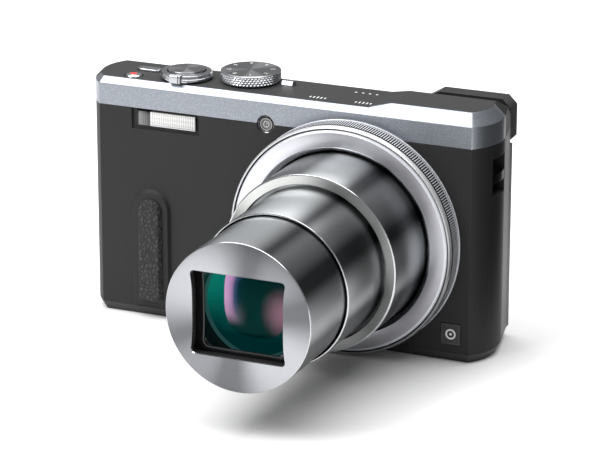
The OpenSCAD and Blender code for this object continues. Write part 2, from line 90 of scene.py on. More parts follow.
# ---- Shader tools ----

class Value:
    """A shader value that can be used in sums."""

    def __init__(self, coat, socket):
        self.coat, self.socket = coat, socket

    def sum(self, kind, a, b=0.0):
        return self.coat.node("ShaderNodeMath", {"operation": kind}, {0: a, 1: b})

    def __add__(self, other): return self.sum("ADD", self, other)
    def __radd__(self, other): return self.sum("ADD", other, self)
    def __sub__(self, other): return self.sum("SUBTRACT", self, other)
    def __rsub__(self, other): return self.sum("SUBTRACT", other, self)
    def __mul__(self, other): return self.sum("MULTIPLY", self, other)
    def __rmul__(self, other): return self.sum("MULTIPLY", other, self)
    def __truediv__(self, other): return self.sum("DIVIDE", self, other)
    def __rtruediv__(self, other): return self.sum("DIVIDE", other, self)
    def __pow__(self, other): return self.sum("POWER", self, other)
    def over(self, other): return self.sum("GREATER_THAN", self, other)
    def under(self, other): return self.sum("LESS_THAN", self, other)
    def size(self): return self.sum("ABSOLUTE", self)
    def most(self, other): return self.sum("MAXIMUM", self, other)


class Coat:
    """One procedural material, built from nodes."""

    def __init__(self, name):
        self.material = bpy.data.materials.new(name)
        self.material.use_nodes = True
        self.tree = self.material.node_tree
        self.tree.nodes.clear()
        self.place = self.node("ShaderNodeTexCoord", out="Object")

    def node(self, kind, settings=None, inputs=None, out=0):
        made = self.tree.nodes.new(kind)
        for key, value in (settings or {}).items():
            if key == "stops":
                while len(made.color_ramp.elements) < len(value):
                    made.color_ramp.elements.new(0.5)
                for stop, (at, tone) in zip(made.color_ramp.elements, value):
                    stop.position = at
                    stop.color = tone if len(tone) == 4 else (*tone, 1.0)
            elif key == "interpolation" and kind == "ShaderNodeValToRGB":
                made.color_ramp.interpolation = value
            else:
                setattr(made, key, value)
        for key, value in (inputs or {}).items():
            socket = made.inputs[key]
            if isinstance(value, Value):
                self.tree.links.new(value.socket, socket)
            else:
                socket.default_value = value
        return Value(self, made.outputs[out])

    def parts(self, vector):
        made = self.tree.nodes.new("ShaderNodeSeparateXYZ")
        self.tree.links.new(vector.socket, made.inputs[0])
        return [Value(self, made.outputs[i]) for i in range(3)]

    def shifted(self, at, scale=(1, 1, 1), turn=(0, 0, 0)):
        """Object coordinates, in millimetres, measured from a point."""
        centred = self.node("ShaderNodeMapping", {"vector_type": "POINT"},
                            {"Vector": self.place, "Location": tuple(-c for c in at),
                             "Scale": (1 / MM, 1 / MM, 1 / MM)})
        if scale != (1, 1, 1) or turn != (0, 0, 0):
            centred = self.node("ShaderNodeMapping", {"vector_type": "POINT"},
                                {"Vector": centred, "Scale": scale, "Rotation": turn})
        return centred

    def vector(self, x, y, z):
        return self.node("ShaderNodeCombineXYZ", None, {0: x, 1: y, 2: z})

    def noise(self, where, scale, detail=2.0, rough=0.5):
        return self.node("ShaderNodeTexNoise", None,
                         {"Vector": where, "Scale": scale, "Detail": detail, "Roughness": rough})

    def cells(self, where, scale, feature="F1", out=0, spread=1.0):
        return self.node("ShaderNodeTexVoronoi", {"feature": feature},
                         {"Vector": where, "Scale": scale, "Randomness": spread}, out)

    def ramp(self, value, stops, interpolation="LINEAR"):
        return self.node("ShaderNodeValToRGB", {"interpolation": interpolation, "stops": stops}, {0: value})

    def mix(self, factor, a, b, kind="MIX"):
        made = self.tree.nodes.new("ShaderNodeMix")
        made.data_type = "RGBA"
        made.blend_type = kind
        for socket, value in ((made.inputs[0], factor), (made.inputs[6], a), (made.inputs[7], b)):
            if isinstance(value, Value):
                self.tree.links.new(value.socket, socket)
            elif isinstance(value, (int, float)):
                socket.default_value = value
            else:
                socket.default_value = (*value, 1.0) if len(value) == 3 else value
        return Value(self, made.outputs[2])

    def range(self, value, a, b, c, d):
        return self.node("ShaderNodeMapRange", {"interpolation_type": "SMOOTHSTEP"},
                         {0: value, 1: a, 2: b, 3: c, 4: d})

    def bands(self, angle, floor, painted_light_bands):
        """A plain tone with soft bands of painted highlight round the circle (painted shade where a strength
        is below 0), each (centre, half width, strength) in degrees.
        """
        total = floor
        for centre, spread, strength in painted_light_bands:
            near = self.node("ShaderNodeMath", {"operation": "COSINE"}, {0: angle - math.radians(centre)})
            total = self.range(near, math.cos(math.radians(spread)), 1.0, 0.0, strength) + total
        return total

    def bump(self, height, strength, deep, under=None):
        inputs = {"Height": height, "Strength": strength, "Distance": deep * MM}
        if under is not None:
            inputs["Normal"] = under
        return self.node("ShaderNodeBump", None, inputs)

    def finish(self, **sockets):
        """Ends the material in a principled shader; names are its sockets in small letters."""
        inputs = {}
        for key, value in sockets.items():
            if isinstance(value, tuple) and len(value) == 3:
                value = (*value, 1.0)
            inputs[key.replace("_", " ").title().replace("Ior", "IOR")] = value
        shader = self.node("ShaderNodeBsdfPrincipled", None, inputs)
        self.node_out(shader)
        return self

    def node_out(self, shader):
        made = self.tree.nodes.new("ShaderNodeOutputMaterial")
        self.tree.links.new(shader.socket, made.inputs[0])


def painted(name, dark, light, gloss, metal, flake, grain=0.02, deep=0.01, coat=0.0, shine=0.5,
            flakes=9.0):
    """Sprayed paint: a fine grain, small changes of tone and, on a metallic one, bright flakes."""
    c = Coat(name)
    at = c.shifted((0, 0, 0))
    wide = c.noise(at, 0.05, 3.0)
    fine = c.noise(at, 6.0, 2.0, 0.6)
    spark = c.parts(c.cells(at, flakes, out=1))[0]
    tone = c.mix(fine * 0.7 + wide * 0.3, dark, light)
    tone = c.mix(c.range(spark, 0.55, 1.0, 0.0, flake), tone, tuple(min(1.0, 2.2 * v + 0.05) for v in light))
    c.finish(base_color=tone, metallic=metal,
             roughness=gloss - 0.06 + 0.1 * fine + 0.04 * wide,
             coat_weight=coat, coat_roughness=0.3, specular_ior_level=shine,
             normal=c.bump(fine + spark * 0.5, grain * 10, deep))
    return c.material


def moulded(name, dark, light, gloss, grain=3.5, deep=0.02, strength=0.5):
    """Moulded plastic with a fine spark-eroded grain."""
    c = Coat(name)
    at = c.shifted((0, 0, 0))
    fine = c.noise(at, grain, 3.0, 0.6)
    wide = c.noise(at, 0.08, 2.0)
    c.finish(base_color=c.mix(fine * 0.6 + wide * 0.4, dark, light),
             roughness=gloss - 0.08 + 0.16 * fine,
             normal=c.bump(fine, strength, deep))
    return c.material


def turned_metal(name, dark, light, gloss, centre, way="Y", rings=9.0, streaks=0.35, deep=0.004, painted_light_bands=(),
                 floor=0.3, metal=1.0):
    """Metal turned on a lathe: fine rings round an axis, with soft pale bands of painted highlight round the
    circle; a band with a strength below 0 is painted shade.
    """
    c = Coat(name)
    x, y, z = c.parts(c.shifted(centre))
    a, b, along = {"X": (y, z, x), "Y": (x, z, y), "Z": (x, y, z)}[way]
    radius = (a * a + b * b) ** 0.5
    angle = c.node("ShaderNodeMath", {"operation": "ARCTAN2"}, {0: b, 1: a})
    ring = c.noise(c.vector(radius * rings, along * rings, 0.0), 1.0, 3.0, 0.7)
    around = c.vector(c.node("ShaderNodeMath", {"operation": "COSINE"}, {0: angle}),
                      c.node("ShaderNodeMath", {"operation": "SINE"}, {0: angle}), 0.0)
    patch = c.noise(around, 1.4, 2.0, 0.5)
    factor = ring * streaks + patch * (1.0 - streaks)
    if painted_light_bands:
        factor = c.bands(angle, floor, painted_light_bands) + (ring - 0.5) * streaks
    tone = c.mix(factor, dark, light)
    c.finish(base_color=tone, metallic=metal, roughness=gloss - 0.07 + 0.14 * ring,
             normal=c.bump(ring, 0.6, deep))
    return c.material


def plain_metal(name, dark, light, gloss, grain=3.0):
    c = Coat(name)
    at = c.shifted((0, 0, 0))
    fine = c.noise(at, grain, 3.0, 0.6)
    c.finish(base_color=c.mix(fine, dark, light), metallic=1.0, roughness=gloss - 0.05 + 0.1 * fine,
             normal=c.bump(fine, 0.3, 0.004))
    return c.material


# ---- Materials ----

charcoal = painted("charcoal_paint", (0.010, 0.010, 0.0105), (0.017, 0.017, 0.018), 0.55, 0.0, 0.04,
                   grain=0.03, deep=0.012, shine=0.35)
silver = painted("silver_flake_paint", (0.20, 0.22, 0.25), (0.33, 0.35, 0.385), 0.38, 0.85, 0.22,
                 grain=0.03, deep=0.012, coat=0.12, flakes=6.5)
deck = painted("deck_paint", (0.022, 0.022, 0.0225), (0.036, 0.036, 0.037), 0.5, 0.0, 0.12, grain=0.02,
               deep=0.01, shine=0.25)
black_plastic = moulded("black_plastic", (0.010, 0.010, 0.011), (0.022, 0.022, 0.024), 0.42)
base_plastic = moulded("base_plastic", (0.016, 0.016, 0.017), (0.028, 0.028, 0.030), 0.48)
# Black for black parts, also put on faces in seams, grooves and recesses as painted shade.
black_and_shade_fill = moulded("matte_black_painted_shade", (0.004, 0.004, 0.004), (0.008, 0.008, 0.008), 0.7)
gloss_black = moulded("gloss_black", (0.006, 0.006, 0.007), (0.012, 0.012, 0.013), 0.14, deep=0.003)
lip_metal = plain_metal("bright_lip", (0.50, 0.51, 0.53), (0.66, 0.67, 0.69), 0.2)
steel = plain_metal("plated_steel", (0.42, 0.42, 0.43), (0.60, 0.60, 0.61), 0.32)
satin_key = plain_metal("satin_key", (0.42, 0.43, 0.45), (0.55, 0.56, 0.58), 0.26)
lug_metal = plain_metal("dark_lug", (0.035, 0.035, 0.036), (0.06, 0.06, 0.062), 0.3)
lens_at = (lens.x, 0.0, lens.z)
# The bands given below to the collar, barrel face, bezel, lip ring, dial and shutter are painted highlights;
# the collar's band at -100 degrees is painted shade.
collar_metal = turned_metal("collar_satin", (0.19, 0.19, 0.21), (0.76, 0.76, 0.81), 0.36, lens_at,
                            painted_light_bands=((5, 50, 0.2), (65, 20, 0.15), (140, 50, 0.6), (-100, 22, -0.25)),
                            floor=0.4, streaks=0.08, metal=0.7)
annulus_metal = turned_metal("barrel_face", (0.08, 0.085, 0.085), (0.85, 0.86, 0.84), 0.38, lens_at,
                             painted_light_bands=((35, 50, 0.3), (115, 45, 0.75), (-75, 35, 0.2)), floor=0.1,
                             streaks=0.08, metal=0.75)
bezel_metal = turned_metal("bezel_spun_painted_light", (0.05, 0.05, 0.055), (0.53, 0.54, 0.57), 0.36, lens_at,
                           painted_light_bands=((-42, 50, 0.62), (45, 28, 0.2), (140, 62, 0.62), (-130, 25, 0.2)),
                           floor=0.2, streaks=0.1)
lip_ring_metal = turned_metal("lip_ring", (0.10, 0.10, 0.11), (0.95, 0.95, 0.97), 0.24, lens_at, streaks=0.05,
                              painted_light_bands=((60, 75, 0.8), (150, 50, 0.4)), floor=0.2, metal=0.6)
ring_metal = turned_metal("ring_silver", (0.62, 0.64, 0.69), (0.86, 0.88, 0.93), 0.3, lens_at, metal=0.2)
dial_metal = turned_metal("dial_metal", (0.10, 0.10, 0.105), (0.62, 0.63, 0.65), 0.3,
                          (dial.x, dial.y, 0.0), "Z", rings=14.0, streaks=0.15,
                          painted_light_bands=((-60, 28, 0.6), (-150, 30, 0.3), (75, 40, 0.5)), floor=0.3)
shutter_metal = turned_metal("shutter_metal", (0.14, 0.14, 0.15), (0.7, 0.7, 0.73), 0.28,
                             (lever.x, lever.y, 0.0), "Z", rings=14.0, streaks=0.15,
                             painted_light_bands=((-60, 28, 0.6), (-150, 30, 0.3), (75, 40, 0.5)), floor=0.3)
lever_metal = plain_metal("lever_metal", (0.36, 0.37, 0.39), (0.54, 0.55, 0.57), 0.22)
mark_white = moulded("printed_white", (0.62, 0.62, 0.62), (0.75, 0.75, 0.75), 0.5, deep=0.002)
board = moulded("solder_mask", (0.01, 0.10, 0.04), (0.02, 0.17, 0.08), 0.3)
aluminium = plain_metal("cast_aluminium", (0.5, 0.5, 0.51), (0.66, 0.66, 0.67), 0.42, 1.2)
cell_wrap = moulded("cell_wrap", (0.02, 0.02, 0.024), (0.05, 0.05, 0.06), 0.36)


def barrel_coat(name, painted_light_bands):
    """Anodised barrel: fine turned lines, and long pale bands of painted highlight round the barrel."""
    c = Coat(name)
    x, y, z = c.parts(c.shifted(lens_at))
    angle = c.node("ShaderNodeMath", {"operation": "ARCTAN2"}, {0: z, 1: x})
    line = c.noise(c.vector(y * 12.0, 0.0, 0.0), 1.0, 3.0, 0.7)
    tone = c.bands(angle, 0.05, painted_light_bands) * (0.9 + 0.2 * line)
    c.finish(base_color=c.mix(tone, (0.02, 0.022, 0.025), (0.92, 0.95, 0.97)), metallic=1.0,
             roughness=0.3 + 0.1 * line, normal=c.bump(line, 0.5, 0.003))
    return c.material


def leather_coat():
    """Moulded leather grain: raised pebbles with creases between them."""
    c = Coat("leather_grain")
    at = c.shifted((0, 0, 0), scale=(1.0, 1.0, 0.85), turn=(0.0, 0.6, 0.0))
    warp = c.node("ShaderNodeVectorMath", {"operation": "ADD"},
                  {0: at, 1: c.node("ShaderNodeTexNoise", None, {"Vector": at, "Scale": 0.9}, out="Color")})
    edge = c.cells(warp, 0.95, "DISTANCE_TO_EDGE")
    fine = c.noise(at, 6.0, 3.0)
    high_spot = c.range(edge, 0.02, 0.3, 0.0, 1.0)
    # The pebble tops are coloured lighter and the creases darker: painted highlight and painted shade.
    c.finish(base_color=c.mix(high_spot, (0.005, 0.005, 0.006), (0.028, 0.028, 0.030)),
             roughness=0.62 - 0.22 * high_spot,
             normal=c.bump(high_spot + fine * 0.15, 0.9, 0.22))
    return c.material


def diffuser_coat():
    c = Coat("flash_diffuser")
    x, y, z = c.parts(c.shifted(tuple(flash_low)))
    rib = c.node("ShaderNodeMath", {"operation": "SINE"}, {0: x * 10.0})
    row = c.node("ShaderNodeMath", {"operation": "SINE"}, {0: z * 5.0})
    width = flash_high.x - flash_low.x
    left = x.under(0.19 * width)
    # Dark lines: a slot between the grey and pale parts, and painted shadow along the left and right edges.
    slot_and_edge_shade = (x.over(0.17 * width) * x.under(0.215 * width)).most(x.under(0.3)).most(x.over(width - 0.25))
    pale = c.mix(rib * 0.35 + row * 0.15 + 0.5, (0.45, 0.46, 0.45), (0.80, 0.80, 0.78))
    grey = c.mix(c.range(x, 0.3, 2.6, 0.0, 1.0), (0.16, 0.16, 0.16), (0.06, 0.06, 0.06))
    tone = c.mix(slot_and_edge_shade, c.mix(left, pale, grey), (0.01, 0.01, 0.01))
    # The pale ribbed part glows faintly through emission: painted light.
    c.finish(base_color=tone, roughness=0.22 + 0.1 * rib.size(), coat_weight=0.7, coat_roughness=0.06,
             emission_color=c.mix(left.most(slot_and_edge_shade), (0.9, 0.9, 0.86), (0.0, 0.0, 0.0)), emission_strength=0.05,
             normal=c.bump(rib, 0.6, 0.06))
    return c.material


def screen_coat():
    c = Coat("screen_glass")
    lo, hi = low("display_cover"), high("display_cover")
    x, y, z = c.parts(c.shifted(tuple((lo + hi) / 2)))
    wide, tall = (hi.x - lo.x) / 2 - 2.4, (hi.z - lo.z) / 2 - 1.8
    seen = x.size().under(wide) * z.size().under(tall)
    smear = c.noise(c.shifted((0, 0, 0)), 0.12, 4.0, 0.6)
    c.finish(base_color=c.mix(seen, (0.004, 0.004, 0.005), (0.018, 0.020, 0.024)),
             roughness=0.05 + 0.06 * smear, coat_weight=1.0, coat_roughness=0.03,
             normal=c.bump(smear, 0.05, 0.01))
    return c.material


def lamp_coat():
    c = Coat("lamp_lens")
    x, y, z = c.parts(c.shifted((lamp.x, 0, lamp.z)))
    radius = (x * x + z * z) ** 0.5
    rings = ((0.0, 0.30), (0.2, 0.12), (0.34, 0.42), (0.45, 0.05), (0.62, 0.30), (0.72, 0.03), (0.9, 0.10),
             (1.0, 0.01))
    tone = c.ramp(radius / 2.4, [(at, (grey, grey, grey)) for at, grey in rings])
    c.finish(base_color=tone, metallic=0.6, roughness=0.16 + 0.05 * c.noise(c.shifted((0, 0, 0)), 3.0),
             coat_weight=1.0, coat_roughness=0.03)
    return c.material


def badge_coat():
    """Gloss plate with a faint hairline frame, and a small ring and dot in its middle."""
    c = Coat("badge_plate")
    x, y, z = c.parts(c.shifted(tuple(badge)))
    radius = (x * x + z * z) ** 0.5
    frame_line = (x.size() - 2.25).most(z.size() - 2.45).size().under(0.07)
    ring = (radius - 1.15).size().under(0.22)
    dot = radius.under(0.34)
    fine = c.noise(c.shifted((0, 0, 0)), 3.0)
    plate = c.mix(frame_line, (0.008, 0.008, 0.009), (0.05, 0.05, 0.052))
    c.finish(base_color=c.mix(ring.most(dot), plate, (0.78, 0.79, 0.80)),
             roughness=0.16 + 0.08 * fine, coat_weight=0.5, coat_roughness=0.08)
    return c.material


def record_coat():
    c = Coat("record_cap")
    x, y, z = c.parts(c.shifted((record.x, record.y, 0)))
    radius = (x * x + y * y) ** 0.5
    fine = c.noise(c.shifted((0, 0, 0)), 4.0)
    red = c.range(radius, 0.86, 0.98, 1.0, 0.0)
    c.finish(base_color=c.mix(red, (0.50, 0.51, 0.53), (0.86, 0.03, 0.02)),
             metallic=1.0 - red, roughness=0.2 + 0.08 * fine, coat_weight=0.4, coat_roughness=0.1)
    return c.material


def coated_glass(name, tint, edge_tint, clear):
    """Lens glass: mostly clear, with a coloured coating that shines where it faces the light."""
    c = Coat(name)
    fine = c.noise(c.shifted((0, 0, 0)), 0.3, 2.0)
    rim = c.node("ShaderNodeLayerWeight", None, {"Blend": 0.35}, out="Facing")
    shine = c.node("ShaderNodeBsdfPrincipled", None,
                   {"Base Color": c.mix(rim, tint, edge_tint), "Metallic": 1.0,
                    "Roughness": 0.04 + 0.03 * fine})
    gone = c.node("ShaderNodeBsdfTransparent", None, {"Color": (1, 1, 1, 1)})
    made = c.tree.nodes.new("ShaderNodeMixShader")
    for socket, value in zip(made.inputs, (rim * (1.0 - clear) * 0.8 + (1.0 - clear) * 0.6, gone, shine)):
        c.tree.links.new(value.socket, socket)
    c.node_out(Value(c, made.outputs[0]))
    return c.material


def painted_reflection_coat():
    """Painted reflections, made to glow, on the element behind the front glass: green round the edge, a dark
    middle, violet at its sides.
    """
    c = Coat("inner_painted_reflections")
    x, y, z = c.parts(c.shifted((lens.x + 0.56, 0.0, lens.z + 0.42)))
    out = (x * x + z * z) ** 0.5
    square = ((x.size() / 8.0) ** 3.0 + ((z - 1.5).size() / 9.6) ** 3.0) ** 0.333
    inside = c.range(square, 0.985, 1.015, 1.0, 0.0)
    fall = c.range(z, -9.0, 7.0, 0.0, 1.0) * c.range(x, -12.5, 2.0, 1.0, 0.25)
    green = c.mix(fall, (0.0, 0.022, 0.024), (0.003, 0.20, 0.15))
    green = c.mix(c.range(out, 12.5, 12.7, 0.0, 0.8), green, (0.022, 0.07, 0.07))
    edge = c.range(square, 0.25, 1.0, 0.0, 1.0)
    left = c.range(x, -5.5, -1.5, 1.0, 0.0) * c.range(z, -6.2, -2.5, 0.0, 1.0)
    band = c.ramp(edge, [(0.0, (0.0, 0.010, 0.010)), (0.35, (0.004, 0.022, 0.045)), (0.6, (0.05, 0.07, 0.16)),
                         (0.78, (0.40, 0.22, 0.42)), (1.0, (0.66, 0.36, 0.62))])
    dull = c.mix(c.range(z, -5.0, 1.5, 0.6, 0.0), band, (0.20, 0.13, 0.16))
    core = c.mix(left, (0.0, 0.010, 0.010), dull)
    spot = ((x - 7.0) * (x - 7.0) + (z + 1.4) * (z + 1.4) * 0.7) ** 0.5
    core = c.mix(c.range(spot, 0.0, 6.2, 1.0, 0.0), core, (0.27, 0.13, 0.18))
    tone = c.mix(inside, green, core)
    fine = c.noise(c.shifted((0, 0, 0)), 0.3)
    # The colour goes out as emission, so these painted reflections glow.
    c.finish(base_color=(0.001, 0.002, 0.002), roughness=0.3 + 0.06 * fine, emission_color=tone,
             emission_strength=0.9, specular_ior_level=0.0)
    return c.material


# The bands in the two barrel materials are painted highlights.
barrel_metal = barrel_coat("barrel_gunmetal", ((5, 22, 0.38), (50, 16, 0.22), (93, 27, 0.6),
                                                (165, 85, 0.28)))
outer_metal = barrel_coat("outer_gunmetal", ((4, 20, 0.42), (43, 16, 0.26), (80, 18, 0.5),
                                              (150, 80, 0.26)))
leather = leather_coat()
diffuser = diffuser_coat()
screen = screen_coat()
lamp_glass = lamp_coat()
badge_gloss = badge_coat()
record_cap = record_coat()
front_coating = coated_glass("front_coating", (0.04, 0.34, 0.30), (0.12, 0.40, 0.36), 0.98)
eyepiece_glass = coated_glass("eyepiece_coating", (0.20, 0.16, 0.30), (0.5, 0.5, 0.6), 0.45)
glowing_reflections = painted_reflection_coat()


# ---- Shape tools ----

def turned(outline, centre, way="Y", steps=160, start=0.0, angle=math.tau):
    """A closed ring or cap, spun from an outline of (radius, distance along the axis)."""
    along, out = AXES[way]
    out = Matrix.Rotation(start, 3, along) @ out
    base = (Vector(centre) - along * Vector(centre).dot(along)) * MM
    bm = bmesh.new()
    verts = [bm.verts.new(base + (out * r + along * a) * MM) for r, a in outline]
    edges = [bm.edges.new(pair) for pair in zip(verts, verts[1:])]
    if outline[0][0] > 0 or outline[-1][0] > 0:
        edges.append(bm.edges.new((verts[-1], verts[0])))
    bmesh.ops.spin(bm, geom=verts + edges, cent=base, axis=along, dvec=(0, 0, 0), angle=angle, steps=steps,
                   use_merge=angle == math.tau)
    bmesh.ops.remove_doubles(bm, verts=bm.verts, dist=1e-6)
    bmesh.ops.recalc_face_normals(bm, faces=bm.faces)
    return bm


def soften(bm, width, angle=30, segments=2, clamp=True):
    """Rounds the edges that are sharper than an angle."""
    edges = [e for e in bm.edges if len(e.link_faces) == 2 and e.calc_face_angle(0.0) > math.radians(angle)]
    if edges:
        bmesh.ops.bevel(bm, geom=edges, offset=width * MM, offset_type="OFFSET", segments=segments,
                        profile=0.5, affect="EDGES", material=-1, clamp_overlap=clamp)
    return bm


def merged(node, flat=0.5):
    """A copy of a CAD node's mesh, joined up and, unless flat is 0, with its flat faces whole."""
    bm = bmesh.new()
    bm.from_mesh(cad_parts[node].data)
    bmesh.ops.remove_doubles(bm, verts=bm.verts, dist=2e-6)
    if flat:
        bmesh.ops.dissolve_limit(bm, angle_limit=math.radians(flat), verts=bm.verts, edges=bm.edges,
                                 use_dissolve_boundaries=False)
    return bm


def slab(lo, hi):
    """A plain block between two corners, ready to be shaped."""
    bm = bmesh.new()
    lo, hi = Vector(lo) * MM, Vector(hi) * MM
    bmesh.ops.create_cube(bm, size=1.0)
    bmesh.ops.scale(bm, vec=hi - lo, verts=bm.verts)
    bmesh.ops.translate(bm, vec=(lo + hi) / 2, verts=bm.verts)
    return bm


def join(bm, other):
    """Adds one bmesh to another and lets the second go."""
    mesh = bpy.data.meshes.new("spare")
    other.to_mesh(mesh)
    other.free()
    bm.from_mesh(mesh)
    bpy.data.meshes.remove(mesh)
    return bm


def piece(name, bm, coats, body, stands_for=(), smooth=35, pick=None, weighted=False):
    """Turns a finished bmesh into a piece that rides on a CAD body."""
    mesh = bpy.data.meshes.new(name)
    coats = coats if isinstance(coats, (list, tuple)) else [coats]
    for coat in coats:
        mesh.materials.append(coat)
    for face in bm.faces:
        face.material_index = pick(face.calc_center_median() / MM, face.normal) if pick else 0
    bm.to_mesh(mesh)
    bm.free()
    mesh.shade_smooth()
    mesh.set_sharp_from_angle(angle=math.radians(smooth))
    made = bpy.data.objects.new(name, mesh)
    bpy.context.scene.collection.objects.link(made)
    if weighted:
        made.modifiers.new("even_shading", "WEIGHTED_NORMAL").keep_sharp = True
    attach(made, body)
    if stands_for:
        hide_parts(*stands_for)
    return made


def radius(at):
    return math.hypot(at.x - lens.x, at.z - lens.z)


# ---- Covers ----

def cover(name, node, coats, body="camera_body", width=0.16, pick=None, flat=0.5):
    bm = merged(node, flat)
    if width:
        soften(bm, width, 28, clamp=False)
    return piece(name, bm, coats, body, (node,), smooth=40, pick=pick, weighted=True)


cover("front_shell", "front_cover", charcoal, width=0.12)
# The band's downward faces are black: painted shade for the seam under the band.
cover("silver_band", "top_band", [silver, black_and_shade_fill], width=0.16,
      pick=lambda at, normal: 1 if normal.z < -0.3 else 0)
cover("deck_shell", "top_plate", deck, width=0.08)
cover("rear_shell", "rear_cover", black_plastic, width=0, flat=0)
cover("base_shell", "base_plate", base_plastic, width=0.1)
cover("eyepiece_block", "eyepiece_frame", black_plastic, width=0, flat=0)
cover("battery_hatch", "battery_door", base_plastic, "battery_door", width=0.1)
cover("terminal_flap", "terminal_door", base_plastic, "terminal_door", width=0, flat=0)
cover("index_wedge", "dial_index", satin_key, width=0.15)
cover("badge_panel", "badge_plate", badge_gloss, width=0.06)
cover("screen_panel", "display_cover", screen, width=0.2)
cover("power_slide", "power_button", satin_key, "power_button", width=0.2)


# ---- Lens ----

def between(y0, y1, r0, r1):
    """A test for faces whose middle lies between two depths and two radii."""
    return lambda at: y0 <= at.y <= y1 and r0 <= radius(at) <= r1


def make_control_ring():
    """Knurled ring: fine ribs between a narrow flange and a groove, then a bright lip."""
    ribs = 290
    y0, y1 = front_y - 0.7, face_y + 1.6
    hole_r = 26.72
    bm = turned([(hole_r, y0), (29.75, y0), (RING_R, y0 - 0.04), (RING_R, y0 - 0.1), (GROOVE_R, y0 - 0.16),
                 (GROOVE_R, face_y + 1.98), (29.2, face_y + 1.94), (29.2, face_y + 1.5),
                 (29.74, face_y + 1.42), (RING_R, face_y + 1.3), (RING_R, face_y + 0.95),
                 (29.55, face_y + 0.2), (29.46, face_y + 0.12),
                 (29.18, face_y + 0.12), (RIM_R, face_y + 0.24), (RIM_R, y1), (hole_r, y1)],
                lens, steps=ribs * 2)
    in_band = between(face_y + 2.1, y0 - 0.3, GROOVE_R - 0.1, GROOVE_R + 0.1)
    band = [f for f in bm.faces if in_band(f.calc_center_median() / MM) and abs(f.normal.y) < 0.1]
    pitch = math.tau / (ribs * 2)
    chosen = []
    for f in band:
        at = f.calc_center_median() / MM
        if int(math.floor(math.atan2(at.z - lens.z, at.x - lens.x) / pitch + 1e-3)) % 2 == 0:
            chosen.append(f)
    bmesh.ops.inset_individual(bm, faces=chosen, thickness=0.06 * MM, depth=0.28 * MM)
    in_gap = between(face_y + 1.46, face_y + 1.97, 29.0, 29.3)
    bright, lip, dark = 0, 1, 2

    # Rib sides, rib floors, groove floors and the gap by the lip take the black material: painted shade in
    # the recesses.
    def pick(at, normal):
        r = radius(at)
        if face_y + 2.0 < at.y < y0 - 0.17:
            return bright if normal.dot(out_from(at)) > 0.95 and r > GROOVE_R + 0.1 else dark
        if r < RIM_R + 0.02 or in_gap(at):
            return dark
        if at.y < face_y + 1.46:
            return lip
        if r < GROOVE_R + 0.02 and abs(normal.y) < 0.1:
            return dark
        return bright
    piece("knurled_ring", bm, [ring_metal, lip_ring_metal, black_and_shade_fill], "control_ring", ("control_ring",),
          pick=pick)


def make_collar():
    """Fixed collar: a satin face with a chamfer round it, and the flange behind the knurled ring."""
    mouth_r, hub_r, edge_r, flange_r = 23.3, 26.6, 28.8, 29.9
    foot = -9.2
    bm = turned([(mouth_r, foot), (mouth_r, face_y + 1.2), (24.25, face_y + 0.16), (24.4, face_y + 0.04),
                 (24.55, face_y), (28.12, face_y), (28.24, face_y + 0.04), (28.72, face_y + 0.43),
                 (edge_r, face_y + 0.54), (edge_r, face_y + 1.3), (hub_r, face_y + 1.3),
                 (hub_r, front_y - 0.45),
                 (RING_R, front_y - 0.45), (flange_r, front_y - 0.35), (flange_r, front_y), (hub_r, front_y),
                 (hub_r, foot)], lens, steps=220)
    face, rim, dark, mouth = 0, 1, 2, 3

    def pick(at, normal):
        r = radius(at)
        if at.y > front_y - 0.6 and r > 29:
            return rim
        if r > 26 and at.y > face_y + 0.75:
            return dark
        if r < mouth_r + 0.1 or at.y > -11:
            return dark
        if r > 28.15:
            return rim
        return mouth if r < 24.5 else face
    piece("collar_trim", bm, [collar_metal, ring_metal, black_and_shade_fill, lip_metal], "camera_body", ("lens_collar",),
          pick=pick)


def make_barrels():
    """The three tubes, the outer and middle ones with a rounded front edge, each with a dark bore."""
    foot = outer_y + BARREL_LEN
    bm = turned([(MOUTH_R, outer_y + 1.6), (MOUTH_R, outer_y + 0.15), (20.37, outer_y), (22.45, outer_y),
                 (22.62, outer_y + 0.03), (22.77, outer_y + 0.12), (OUTER_R, outer_y + 0.32),
                 (OUTER_R, outer_y + 12), (OUTER_R, foot), (21.85, foot), (21.85, outer_y + 1.6)],
                lens, steps=200)
    tube, face, lip, dark = 0, 1, 2, 3

    def pick_outer(at, normal):
        if radius(at) < MOUTH_R + 0.05 or normal.dot(out_from(at)) < -0.3:
            return dark
        if radius(at) > 22.5 and at.y < outer_y + 0.3:
            return lip
        return face if at.y < outer_y + 0.2 else tube
    piece("outer_tube", bm, [outer_metal, annulus_metal, lip_metal, black_and_shade_fill], "outer_barrel",
          ("barrel_outer",), pick=pick_outer)
    foot = middle_y + BARREL_LEN
    bm = turned([(18.9, middle_y + 0.25), (18.94, middle_y + 0.06), (19.05, middle_y), (19.2, middle_y),
                 (19.34, middle_y + 0.07), (MIDDLE_R, middle_y + 0.22), (MIDDLE_R, foot - 1.5),
                 (21.45, foot - 1.5), (21.45, foot), (18.9, foot)], lens, steps=200)

    def pick_middle(at, normal):
        if normal.dot(out_from(at)) < -0.3:
            return 2
        return 1 if at.y < middle_y + 0.2 else 0
    piece("middle_tube", bm, [barrel_metal, lip_metal, black_and_shade_fill], "middle_barrel", ("barrel_middle",),
          pick=pick_middle)
    back, bore_r = inner_y + 23, 17.85
    bm = turned([(bore_r, inner_y + 1.6), (INNER_R, inner_y + 1.6), (INNER_R, back), (bore_r, back)], lens,
                steps=200)
    piece("inner_tube", bm, [barrel_metal, black_and_shade_fill], "inner_barrel", ("barrel_inner",),
          pick=lambda at, n: 1 if n.dot(out_from(at)) < -0.3 else 0)


def out_from(at):
    return Vector((at.x - lens.x, 0, at.z - lens.z)).normalized()


